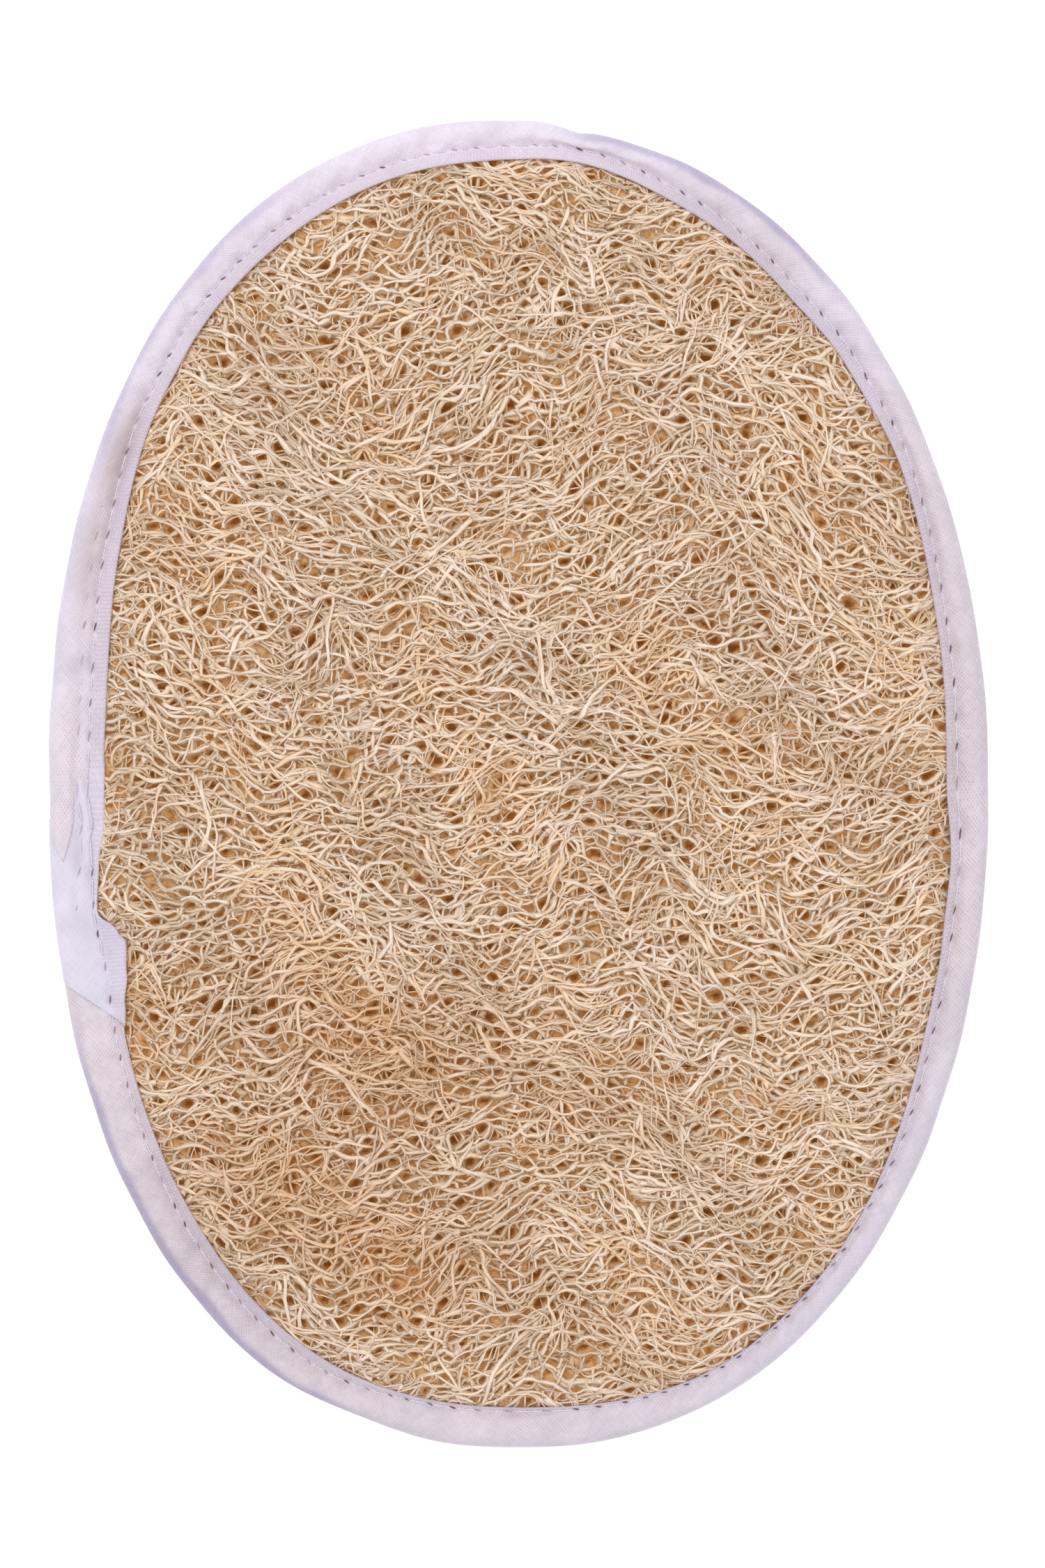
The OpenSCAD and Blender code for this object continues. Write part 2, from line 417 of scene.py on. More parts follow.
def loofah_material():
    """Cream fibre painted golden and then orange-brown with depth, as painted shade with painted
    warm light bounced between the fibres, and streaked along its length.
    """
    n = Nodes("loofah_fibre")
    # Painted shade: the deeper a point lies in the sheet, the darker and more orange its colour
    painted_shade_by_depth = n.ramp(n.attribute("depth"),
                      (0.0, srgb(234, 219, 203)),
                      (0.3, srgb(226, 206, 179)),
                      (0.6, srgb(214, 170, 122)),
                      (1.0, srgb(190, 120, 58)))
    tone = n.attribute("tone")
    greyed = n.tint(painted_shade_by_depth, srgb(222, 214, 202), n.span(tone, 0.55, 1.0, 0.0, 0.8))
    warmed = n.tint(greyed, srgb(252, 230, 196), n.span(tone, 0.0, 0.45, 0.7, 0.0))
    streak = n.noise(n.attribute("streak", "Vector"), 1.0, 3.0, 0.6)
    shade = n.grey(n.span(streak, 0.3, 0.7, 0.78, 1.07))
    browned = n.tint(warmed, BROWN, n.attribute("brown"))
    return n.finish(n.tint(browned, shade), n.bump(streak, 0.08 * MM, 0.5),
                    Roughness=0.6, Specular_IOR_Level=0.3, Emission_Color=THROUGH_LIGHT,
                    Emission_Strength=THROUGH_STRENGTH)


def loofah_web_material():
    """The pressed web of fibre between the strands, with painted shade that turns its pores
    orange-brown.
    """
    n = Nodes("loofah_web")
    at = n.place()
    fine = n.noise(at, 1500.0, 4.0, 0.6)
    wide = n.noise(at, 90.0, 2.0, 0.5)
    depth = n.plus(n.attribute("depth"), n.span(fine, 0.3, 0.7, -0.12, 0.12))
    # Painted shade: the deeper the web lies, the darker and more orange its colour
    color = n.ramp(depth,
                   (0.0, srgb(216, 184, 144)),
                   (0.35, srgb(210, 168, 118)),
                   (0.65, srgb(190, 134, 76)),
                   (1.0, srgb(150, 80, 22)))
    pinkish = n.mix(n.span(wide, 0.5, 0.75, 0.0, 0.35), color, srgb(196, 150, 118))
    browned = n.tint(pinkish, BROWN, n.attribute("brown"))
    return n.finish(browned, n.bump(fine, 0.5 * MM, 0.8), Roughness=0.75, Specular_IOR_Level=0.2,
                    Emission_Color=THROUGH_LIGHT, Emission_Strength=THROUGH_STRENGTH)


def weave(n, pitch):
    """Plain weave on the bias, from the mesh's own measure along and across the tape: how much
    of each point is a gap between threads, and slubs along both sets of threads."""
    along, across, _ = n.split(n.attribute("weave", "Vector"))
    turned = 1 / (pitch * math.sqrt(2))
    u = n.times(n.plus(along, across), turned)
    v = n.times(n.math("SUBTRACT", along, across), turned)
    hole = n.math("POWER", n.times(n.wave("COSINE", u), n.wave("COSINE", v)), 1.6)
    slubs = [n.noise(n.vector(u, n.times(v, 0.1), 0.0), 1.0, 1.0),
             n.noise(n.vector(n.times(u, 0.1), v, 5.0), 1.0, 1.0)]
    return hole, n.times(n.plus(*slubs), 0.5)


PRICK_HALF_L = 0.42
PRICK_HALF_W = 0.13


def prick_mask(n, phase_name, off_name, pitch):
    """The needle's holes: short slits, slightly slanted, at whole numbers of the stitch phase."""
    phase, off = n.attribute(phase_name), n.attribute(off_name)
    nearest = n.math("ROUND", phase)
    along = n.times(n.math("SUBTRACT", phase, nearest), pitch)
    slanted = n.plus(off, n.times(along, 0.25))
    squares = [n.math("POWER", n.math("ABSOLUTE", n.times(way, 1 / half)), 2.0)
               for way, half in ((along, PRICK_HALF_L), (slanted, PRICK_HALF_W))]
    return n.span(n.plus(*squares), 0.5, 1.5, 1.0, 0.0)


def cloth_material(name, light, creamy, gap, pitch, gap_strength):
    """Plain-weave cotton with needle holes along its seam, greyer on the lip inside the seam."""
    n = Nodes(name)
    at = n.place()
    hole, slub = weave(n, pitch)
    patches = n.span(n.noise(at, 45.0, 2.0, 0.5), 0.35, 0.65, -0.25, 0.25)
    coarse = n.math("ADD", n.attribute("coarse"), patches, clamp=True)
    worn = n.span(n.noise(at, 1300.0, 3.0, 0.6), 0.38, 0.62)
    open_share = n.span(coarse, 0.0, 1.0, gap_strength * 0.4, gap_strength)
    woven = n.mix(n.times(n.times(hole, worn), open_share), n.mix(coarse, light, creamy), gap)
    # Painted shade and highlight in soft patches, standing in for the shading of the puckers
    pucker_light_and_shade = n.span(n.noise(at, 170.0, 2.0, 0.6), 0.3, 0.7, 0.93, 1.04)
    slub_and_pucker_shade = n.times(pucker_light_and_shade, n.span(slub, 0.35, 0.65, 0.94, 1.03))
    slubbed_and_pucker_shaded = n.tint(woven, n.grey(slub_and_pucker_shade))

    lip, flap = n.attribute("lip"), n.attribute("flap")
    along, across, _ = n.split(n.attribute("weave", "Vector"))
    cross_rib, long_rib = (n.wave("SINE", n.times(way, 1 / step))
                           for way, step in ((along, 0.42), (across, 0.36)))
    rib = n.plus(n.times(cross_rib, n.math("SUBTRACT", 1.0, flap)), n.times(long_rib, flap))
    lipped = n.tint(slubbed_and_pucker_shaded, srgb(244, 240, 244), n.times(lip, n.span(rib, 0.0, 1.0, 0.65, 1.0)))
    # Painted shade darkens the turned-down side of the rim
    turned = n.tint(lipped, srgb(214, 211, 230), n.attribute("turned"))
    # Painted light and shade: each side of the cloth lighter or darker round the rim
    side_shaded = n.tint(turned, n.grey(n.attribute("shade")))
    stained = n.tint(side_shaded, srgb(196, 172, 150), n.attribute("stain"))

    uneven = n.span(n.noise(at, 260.0, 1.0), 0.35, 0.6, 0.35, 1.0)
    faint = n.times(prick_mask(n, "phase2", "off2", 2.9), n.times(uneven, 0.7))
    dark = n.times(prick_mask(n, "phase", "off", 3.0), uneven)
    paler = n.mix(faint, stained, srgb(146, 128, 146))
    pricked = n.mix(dark, paler, srgb(112, 84, 92))
    relief = n.plus(n.times(n.math("SUBTRACT", 1.0, hole), 0.5), n.plus(slub, n.times(rib, lip)))
    return n.finish(pricked, n.bump(relief, 0.12 * MM, 0.6), Roughness=0.85,
                    Specular_IOR_Level=0.2, Sheen_Weight=0.15, Sheen_Roughness=0.5)


def thread_material():
    """White spun thread with the twist of its plies."""
    n = Nodes("thread")
    along, around, _ = n.split(n.attribute("streak", "Vector"))
    ply = n.math("SINE", n.plus(n.times(along, TURN / 0.45), n.times(around, 2.0)))
    shade = n.grey(n.span(ply, -1.0, 1.0, 0.86, 1.0))
    return n.finish(n.tint(srgb(228, 221, 232), shade), n.bump(ply, 0.04 * MM, 0.7),
                    Roughness=0.5, Specular_IOR_Level=0.4)


def terry_material():
    """Off-white cotton terry, with painted shade between its loops."""
    n = Nodes("terry")
    fine = n.noise(n.place(), 2200.0, 3.0, 0.6)
    wide = n.noise(n.place(), 60.0, 2.0, 0.5)
    base = n.mix(n.span(wide, 0.35, 0.65), srgb(232, 228, 224), srgb(222, 216, 212))
    loop_shaded = n.mix(n.attribute("depth"), base, srgb(176, 168, 166))
    shade = n.grey(n.span(fine, 0.3, 0.7, 0.86, 1.04))
    return n.finish(n.tint(loop_shaded, shade), n.bump(fine, 0.4 * MM, 0.8),
                    Roughness=0.9, Specular_IOR_Level=0.15, Sheen_Weight=0.3)


def foam_material():
    """Open-cell foam."""
    n = Nodes("foam")
    cells = n.noise(n.place(), 1400.0, 3.0, 0.7)
    color = n.ramp(cells, (0.35, srgb(176, 140, 92)), (0.6, srgb(214, 184, 138)))
    return n.finish(color, n.bump(cells, 0.5 * MM, 0.9), Roughness=0.85, Specular_IOR_Level=0.2)


def elastic_material():
    """Ribbed knitted elastic, with rubber ribs along it covered with fine thread across them, and
    painted shade between the ribs.
    """
    n = Nodes("elastic")
    along, across, _ = n.split(n.attribute("weave", "Vector"))
    knit = n.math("SINE", n.plus(n.times(along, TURN / 0.55), n.times(across, 1.5)))
    slub = n.noise(n.vector(n.times(along, 0.6), n.times(across, 3.0), 0.0), 1.0, 2.0)
    rib_valley_shade = n.attribute("depth")
    base = n.mix(rib_valley_shade, srgb(236, 234, 238), srgb(196, 192, 202))
    shade = n.plus(n.span(knit, -1.0, 1.0, 0.9, 1.0), n.span(slub, 0.3, 0.7, -0.05, 0.05))
    return n.finish(n.tint(base, n.grey(shade)), n.bump(knit, 0.12 * MM, 0.7),
                    Roughness=0.75, Specular_IOR_Level=0.25)


FIBRE = loofah_material()
WEB = loofah_web_material()
COARSE_CLOTH = cloth_material("coarse_cotton", srgb(223, 213, 225), srgb(221, 209, 214),
                              srgb(162, 137, 132), 0.3, 0.85)
SMOOTH_CLOTH = cloth_material("smooth_cotton", srgb(222, 215, 229), srgb(220, 212, 224),
                              srgb(196, 186, 204), 0.22, 0.35)
THREAD = thread_material()
TERRY = terry_material()
FOAM = foam_material()
ELASTIC = elastic_material()


# ---- loofah

MAT_BED_Z = LOOFAH_LOW[2] + 0.5
MAT_TOP_Z = LOOFAH_HIGH[2]
MAT_RIM_Z = SEAM_TOP_Z - 0.5
MAT_EDGE_INSET = 2.2
WEB_LEVEL = 0.56
SWAY_WIDE = Waves(21, 42)
SWAY_NEAR = Waves(22, 12)
HUMPS = Waves(23, 24)
BROWN_MIDDLE = (-20, -42)
BROWN_HALF = (24, 22)
STRAND_END = 0.22
STREAKS = 2.2
FLOWING_W = 0.28
HAIR_W = 0.13


def sway(x, y):
    """How far the fibres at a point are drawn along the pad from lying straight across it."""
    return 2.6 * SWAY_WIDE(x, y) + 0.85 * SWAY_NEAR(x, y)


def flow(x, y):
    """Heading of the fibres at a point: mostly across the pad, in swirls."""
    return np.arctan(sway(x + 0.5, y) - sway(x - 0.5, y))


def mat_top(x, y):
    """Height of the top of the loofah sheet, which the binding presses down at its edge."""
    rise = smoothstep(-2.0, 4.0, inside_edge(x, y))
    return MAT_RIM_Z + (MAT_TOP_Z - 0.25 - MAT_RIM_Z + 0.2 * HUMPS(x, y)) * rise


class PoreField:
    """Pores spread over the sheet, as a bumpy field that fibres are pushed away from."""

    PITCH = 0.2
    REACH = 2.6

    def __init__(self, seed, spacing, small, large, large_share, left_out):
        rng = np.random.default_rng(seed)
        self.half = np.array([HALF_W + 4, HALF_L + 4])
        size = np.ceil(2 * self.half / self.PITCH).astype(int)
        self.field = np.zeros((size[1], size[0]))
        rows = np.arange(-HALF_L, HALF_L, spacing[1])
        columns = np.arange(-HALF_W, HALF_W, spacing[0])
        for j, y0 in enumerate(rows):
            for x0 in columns + (j % 2) * spacing[0] / 2:
                x, y = np.array([x0, y0]) + rng.uniform(-0.48, 0.48, 2) * spacing
                kind, share, stretch, tilt = rng.random(4)
                if kind < left_out:
                    continue
                low, high = large if kind > 1 - large_share else small
                radius = low + (high - low) * share
                stretch = math.sqrt(1.1 + 1.2 * stretch)
                turn = flow(x, y) + 0.9 * (tilt - 0.5)
                self.stamp(x, y, radius * stretch, radius / stretch, turn)
        self.slope_y, self.slope_x = np.gradient(self.field, self.PITCH)

    def stamp(self, x, y, long_r, short_r, turn):
        """Adds one oval pore to the field."""
        reach = int(math.ceil(self.REACH * long_r / self.PITCH))
        middle = (int(round((y + self.half[1]) / self.PITCH)),
                  int(round((x + self.half[0]) / self.PITCH)))
        rows, columns = (np.arange(max(at - reach, 0), min(at + reach + 1, size))
                         for at, size in zip(middle, self.field.shape))
        dx = columns[None, :] * self.PITCH - self.half[0] - x
        dy = rows[:, None] * self.PITCH - self.half[1] - y
        along = (dx * math.cos(turn) + dy * math.sin(turn)) / long_r
        across = (dy * math.cos(turn) - dx * math.sin(turn)) / short_r
        bump = np.exp(-(along**2 + across**2)) * min(long_r, 1.0)
        patch = np.ix_(rows, columns)
        self.field[patch] = np.maximum(self.field[patch], bump)

    def sample(self, grid, x, y):
        """Values between a grid's own points."""
        u = np.clip((x + self.half[0]) / self.PITCH, 0, grid.shape[1] - 1.001)
        v = np.clip((y + self.half[1]) / self.PITCH, 0, grid.shape[0] - 1.001)
        i, j = u.astype(int), v.astype(int)
        fu, fv = u - i, v - j
        low = grid[j, i] * (1 - fu) + grid[j, i + 1] * fu
        high = grid[j + 1, i] * (1 - fu) + grid[j + 1, i + 1] * fu
        return low * (1 - fv) + high * fv

    def depth(self, x, y):
        return self.sample(self.field, x, y)

    def push(self, path, reach):
        """Moves points out of the pores."""
        x, y = path[..., 0], path[..., 1]
        return np.stack([x - reach * self.sample(self.slope_x, x, y),
                         y - reach * self.sample(self.slope_y, x, y)], -1)


PORES = PoreField(11, (2.1, 1.5), (0.25, 0.44), (0.4, 0.66), 0.16, 0.12)
CELLS = PoreField(12, (1.5, 1.0), (0.2, 0.34), (0.34, 0.5), 0.2, 0.05)


WIGGLE = 0.32
BUNDLE_LENGTH = 1.6


def grow(rng, seeds, own, bend, length, steps):
    """Centre lines that follow the flow both ways from their seeds, as (fibre, step, 2)."""
    count = len(seeds)
    step = length / (steps - 1)
    phase, rate = rng.uniform(0, TURN, count), rng.uniform(0.6, 1.6, count)
    half = steps // 2
    path = np.zeros((count, steps, 2))
    path[:, half] = seeds
    for way, number in ((1, steps - 1 - half), (-1, half)):
        x, y = seeds[:, 0].copy(), seeds[:, 1].copy()
        for k in range(1, number + 1):
            travelled = way * k * step
            wiggle = WIGGLE * (np.sin(rate * travelled + phase) - np.sin(phase))
            heading = flow(x, y) + own + bend * travelled + wiggle
            x = x + way * step * np.cos(heading)
            y = y + way * step * np.sin(heading)
            path[:, half + way * k] = np.stack([x, y], -1)
    return path


def bundled(rng, count, spread, steep_share, curl, gap):
    """Seeds, own headings and bends of fibres that run in loose bundles of about three."""
    bundle_of = np.sort(rng.integers(0, count // 3, count))
    bundles = bundle_of.max() + 1
    turn, out = rng.uniform(0, TURN, bundles), np.sqrt(rng.random(bundles))
    middle = superellipse(turn, HALF_W - MAT_EDGE_INSET, HALF_L - MAT_EDGE_INSET, RIM_POWER)
    middle = middle * out[:, None]
    own = rng.normal(0, spread, bundles)
    steep = rng.random(bundles) < steep_share
    own[steep] = rng.uniform(-1.5, 1.5, steep.sum())
    bend = rng.normal(0, curl, bundles)
    seeds = middle[bundle_of]
    heading = flow(seeds[:, 0], seeds[:, 1]) + own[bundle_of]
    along, across = rng.normal(0, BUNDLE_LENGTH, count), rng.normal(0, gap, count)
    cos, sin = np.cos(heading), np.sin(heading)
    seeds = seeds + np.stack([along * cos - across * sin, along * sin + across * cos], -1)
    return (seeds, own[bundle_of] + rng.normal(0, 0.09, count),
            bend[bundle_of] + rng.normal(0, 0.012, count))


def edge_share(x, y):
    """How far out a point is, as a share of the way to the sheet's cut edge."""
    angle = np.arctan2(y / HALF_L, x / HALF_W)
    edge = superellipse(angle, HALF_W - MAT_EDGE_INSET, HALF_L - MAT_EDGE_INSET, RIM_POWER)
    return np.hypot(x, y) / np.hypot(edge[..., 0], edge[..., 1])


def brownness(x, y):
    """How far the fibre has browned: most at the lower left, in patches."""
    (middle_x, middle_y), (half_x, half_y) = BROWN_MIDDLE, BROWN_HALF
    near = np.exp(-(((x - middle_x) / half_x) ** 2 + ((y - middle_y) / half_y) ** 2))
    return np.clip(0.85 * near + 0.18 * HUMPS(x + 60, y), 0, 1)


def smoothed(path, amount, rounds=1):
    """Evens out lines, in place, without moving their ends."""
    for _ in range(rounds):
        path[:, 1:-1] = (1 - amount) * path[:, 1:-1] + amount / 2 * (path[:, 2:] + path[:, :-2])
    return path


def waver(rng, count, steps, low, high):
    """A sine along each strand, with low to high waves on it."""
    share = np.linspace(0, 1, steps)[None, :]
    return np.sin(TURN * (share * rng.uniform(low, high, (count, 1)) + rng.random((count, 1))))


def end_share(steps):
    """0 along most of a strand, rising to 1 at both of its ends."""
    share = np.linspace(0, 1, steps)
    return 1 - np.minimum(smoothstep(0, STRAND_END, share), smoothstep(0, STRAND_END, 1 - share))


def strand_mesh(name, rng, path, height, width, sides=4, flat=0.48, flare=0.5):
    """Tubes along plan centre lines. Their heights are shares of the sheet's depth, from 0 at its
    bed to 1 at its top. With flare, some ends spread into their neighbours instead of tapering."""
    count, steps = path.shape[:2]
    end = end_share(steps)
    path = path / np.maximum(edge_share(path[..., 0], path[..., 1]), 1)[..., None]
    x, y = path[..., 0], path[..., 1]
    height = np.clip(height, 0.03, 1.0)
    flared = (rng.random((count, 1)) < flare).astype(float)
    ending = flared * (1 + 0.9 * end) + (1 - flared) * (1 - 0.72 * end)
    w = width * np.clip(rng.lognormal(0, 0.38, (count, 1)), 0.45, 1.9)
    w = w * (1 + 0.2 * waver(rng, count, steps, 1, 3))
    w = w * ending
    h = np.minimum(w, width * 1.3) * flat * (1 - 0.45 * end * flared)
    z = MAT_BED_Z + (mat_top(x, y) - MAT_BED_Z) * height - h / 2
    twist = 0.35 * waver(rng, count, steps, 0.5, 1.2)
    points, quads, along, around = tubes(np.stack([x, y, z], -1), w, h, twist, sides)
    own = rng.uniform(0, 500, (count, 1, 1))
    streak = np.stack([along * 0.3 + own, np.cos(around) * STREAKS, np.sin(around) * STREAKS + own],
                      -1)
    # Painted shade: strands lower in the sheet and over the pores are given a darker colour
    depth = np.clip(0.95 - height + 0.3 * np.clip(PORES.depth(x, y), 0, 1), 0, 1)
    tone = np.clip(0.5 + 0.22 * rng.normal(size=(count, 1)) + 0.12 * HUMPS(y, x), 0, 1)
    attributes = {key: np.repeat(values[:, :, None], sides, 2).ravel()
                  for key, values in (("depth", depth), ("tone", tone), ("brown", brownness(x, y)))}
    attributes["streak"] = streak.reshape(-1, 3)
    strands = make_mesh(name, points, quads, FIBRE, attributes)
    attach(strands, "pad")


def flowing_strands(name, seed, count, length, steps, level, spread, steep):
    """Strands that run with the flow and round the pores, and dive at their ends."""
    rng = np.random.default_rng(seed)
    seeds, own, bend = bundled(rng, count, spread, steep, 0.03, 2.4 * FLOWING_W)
    path = grow(rng, seeds, own, bend, length * rng.lognormal(0, 0.35, count), steps)
    for _ in range(12):
        path = smoothed(CELLS.push(PORES.push(path, 0.16), 0.064), 0.3)
    height = rng.uniform(*level, (count, 1)) + 0.08 * waver(rng, count, steps, 0.5, 1.6)
    pore = np.clip(PORES.depth(path[..., 0], path[..., 1]), 0, 1)
    height = height - 0.2 * end_share(steps) - 0.3 * pore
    strand_mesh(name, rng, path, height, FLOWING_W, sides=6)


def eased(joints, steps):
    """Smooth lines of a number of steps through rows of joints."""
    at = np.linspace(0, joints.shape[1] - 1, steps)
    k = np.minimum(at.astype(int), joints.shape[1] - 2)
    part = (at - k)[None, :, None]
    return smoothed(joints[:, k] * (1 - part) + joints[:, k + 1] * part, 0.5, 2)


def net_layer(name, seed, cell, level, width, left_out):
    """A layer of fused net: wavy strands across the pad, and short links between them. Its joints
    are a honeycomb's, shaken, swayed with the flow and pushed out of the pores."""
    rng = np.random.default_rng(seed)
    half, high = cell[0] / 2, cell[1]
    columns, rows = int(HALF_W / half) + 5, int((HALF_L + 9) / high)
    i, r = np.meshgrid(np.arange(-columns, columns + 1), np.arange(-rows, rows + 1), indexing="ij")
    up = np.where((i + r) % 2 == 0, 1, -1)
    x = half * (i + rng.uniform(-0.45, 0.45, i.shape))
    y = high * (r + 0.2 * up + rng.uniform(-0.27, 0.27, i.shape))
    joints = np.stack([x, y + sway(x, y)], -1)
    for _ in range(8):
        joints = PORES.push(joints, 0.16)
    height = level + 0.05 * HUMPS(x * 3, y * 3) + rng.normal(0, 0.03, i.shape)
    joints = np.concatenate([joints, height[..., None]], -1)

    first = 3 * np.arange((2 * columns - 4) // 3)[:, None] + rng.integers(0, 3, 2 * rows + 1)
    row = np.broadcast_to(np.arange(2 * rows + 1), first.shape)
    lines = np.stack([joints[first + k, row] for k in range(5)], -2).reshape(-1, 5, 3)
    far = lines[:, 2, 1] > 0
    across, along = np.nonzero(up[:, :-1] == 1)
    links = np.stack([joints[across, along], joints[across, along + 1]], 1)
    groups = (("strands_far", lines[far], 10, width, 0.3),
              ("strands_near", lines[~far], 10, width, 0.3),
              ("links", links, 4, 0.85 * width, 1.0))
    for part, chosen, steps, wide, flare in groups:
        chosen = chosen[edge_share(chosen[:, 1, 0], chosen[:, 1, 1]) < 1]
        chosen = chosen[rng.random(len(chosen)) > left_out]
        path = eased(chosen, steps)
        bend = np.sin(math.pi * np.linspace(0, 1, steps))[None, :, None]
        moved = path[..., :2] + bend * rng.normal(0, 0.14, (len(path), 1, 2))
        for _ in range(4):
            moved[:, 1:-1] = PORES.push(moved, 0.14)[:, 1:-1]
        strand_mesh(f"{name}_{part}", rng, moved, path[..., 2], wide, flat=0.5, flare=flare)


def fine_hairs(name, seed, count):
    """Curled loose hairs on top."""
    rng = np.random.default_rng(seed)
    seeds, own, _ = bundled(rng, count, 0.8, 0.4, 0.0, 4.0)
    path = grow(rng, seeds, own, rng.normal(0, 0.18, count), rng.uniform(3, 7, count), 11)
    height = rng.uniform(0.92, 1.05, (count, 1)) + 0.05 * waver(rng, count, 11, 0.5, 1.6)
    strand_mesh(name, rng, path, height, HAIR_W, flat=0.9, flare=0.0)


def loofah_web():
    """The closed body of the sheet: the pressed web of fibre, with a pit at each pore."""
    xy, reach = oval_grid(248, 352, MAT_EDGE_INSET - 0.5)
    x, y = xy[..., 0], xy[..., 1]
    pore = PORES.depth(x, y)
    pit = smoothstep(0.2, 0.6, pore)
    relief = 0.5 * Waves(31, 1.6)(x, y) - 1.2 * CELLS.depth(x, y)
    height = WEB_LEVEL + 0.06 * relief - 0.28 * pit
    edge_fade = smoothstep(1.0, 0.985, reach)
    z = MAT_BED_Z + (mat_top(x, y) - MAT_BED_Z) * height * edge_fade
    index = np.arange(x.size).reshape(x.shape)
    ring = border_of(index)
    base_ring = x.size + np.arange(len(ring))
    base = np.stack([x.ravel()[ring], y.ravel()[ring], np.full(len(ring), LOOFAH_LOW[2])], -1)
    wall = np.stack([np.roll(ring, -1), ring, base_ring, np.roll(base_ring, -1)], -1)
    quads = np.concatenate([grid_quads(index), wall])
    # Painted shade: darker in the pits and low places, and darkest on the base
    depth = np.clip(0.3 - 0.2 * relief + 0.75 * pit, 0, 1)
    depth = np.concatenate([depth.ravel(), np.ones(len(ring))])
    points = np.concatenate([np.stack([x, y, z], -1).reshape(-1, 3), base])
    brown = brownness(points[:, 0], points[:, 1])
    web = make_mesh("loofah_web", points, quads, WEB, {"depth": depth, "brown": brown},
                    ngons=[base_ring])
    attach(web, "pad")
    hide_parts("loofah_pad")


def build_loofah():
    """The web, the nets and strands over it, from the lowest up, and the hairs on top."""
    loofah_web()
    net_layer("loofah_net_1", 41, (1.75, 1.05), 0.65, 0.45, 0.06)
    net_layer("loofah_net_2", 42, (1.95, 1.2), 0.78, 0.4, 0.08)
    net_layer("loofah_net_3", 43, (2.4, 1.45), 0.88, 0.34, 0.18)
    for part in (1, 2):
        flowing_strands(f"loofah_middle_{part}", 50 + part, 1400, 5, 10, (0.72, 0.9), 0.5, 0.35)
    for part in (1, 2, 3):
        flowing_strands(f"loofah_upper_{part}", 60 + part, 1150, 5.5, 11, (0.84, 1.0), 0.45, 0.3)
    fine_hairs("loofah_hairs", 75, 700)


# ---- binding


class Seam:
    """Where the needle went through: hole angles round the rim, each a little irregular. They
    count on past a whole turn, as the tape's own angles do."""

    def __init__(self, seed, first, last):
        rng = np.random.default_rng(seed)
        self.number = np.arange(first, last + 1)
        drift = rng.normal(0, 0.1, STITCHES)
        self.holes = TURN * (self.number + drift[self.number % STITCHES]) / STITCHES

    def phase(self, angle):
        """A stitch count: whole at each hole, and half way between two beyond the row's ends."""
        return np.interp(angle, self.holes, self.number, left=self.number[0] - 0.5,
                         right=self.number[-1] + 0.5)


FIRST_STITCH = 64
MAIN_SEAM = Seam(81, FIRST_STITCH, FIRST_STITCH + STITCHES + 10)
OVERLAP_SEAM = Seam(82, *(STITCHES + round(at / 360 * STITCHES) for at in OVERLAP_DEGREES))
PUCKERS = Waves(83, 3.4)
RIPPLES = Waves(84, 9.0)
TAUT = Waves(85, 30.0)

RIM_MID_Z = 11.0
PUFF_Z = TAPE_HIGH[2] + 0.45
SEAM_Z = TAPE_HIGH[2] - 0.25
FACE_ROW = 16
PINCH_REACH = 0.6
# Nearer than this to the seam is on it, so that rounding doesn't put it on one side or the other
ON_SEAM = 1e-6

# Where the tape and the lap end, in degrees. The shapes are shares of the way across from the rim,
# and the degrees there.
TAPE_DEGREES = (190, 360 + 184)
LAP_DEGREES = (360 + 178, 360 + 199)
TAIL_SHAPE = (0, 0.3, 0.42, 0.5, 0.56, 1.0), (183.7, 185.2, 183.5, 182.4, 180.6, 180.3)
TUCK_SHAPE = (0, 0.5, 0.6, 1.0), (182.2, 181.0, 179.0, 179.0)
FOLD_DEGREES = (194.9, 199.3)

# Faint stains: place, size and strength
STAINS = (((-50.1, 39.1), 1.3, 0.5), ((-52.6, 26.2), 1.6, 0.35))


def tape_face(angle):
    """The rim's outline, the way in from it, the tape's width and the seam's distance in."""
    outer, edge = rim_point(angle), edge_point(angle)
    width = np.linalg.norm(outer - edge, axis=-1)
    inward = (edge - outer) / width[..., None]
    lip = lookup(LIP, degrees_at(edge))
    return outer, inward, width, width - lip, lip


def overlap_margin(angle):
    """How far the second row of stitches is outside the first."""
    return OVERLAP_MARGIN + 0.8 * smoothstep(184, 189, np.degrees(angle) % 360)


def pocket_drop(outer):
    """How far the tape's back bulges down over the strap's sewn ends."""
    at_side = (np.abs(outer[..., 0]) > HALF_W / 2).astype(float)
    beside = smoothstep(STRAP_HIGH[1] + 3.0, STRAP_HIGH[1], np.abs(outer[..., 1]))
    return (SEAM_LOW_Z - STRAP_END_LOW[2]) * at_side * beside


def pinch(seam, angle):
    """1 at the needle's holes and 0 between them."""
    phase = seam.phase(angle)
    return np.exp(-((phase - np.round(phase)) * STITCH_PITCH / PINCH_REACH) ** 2)


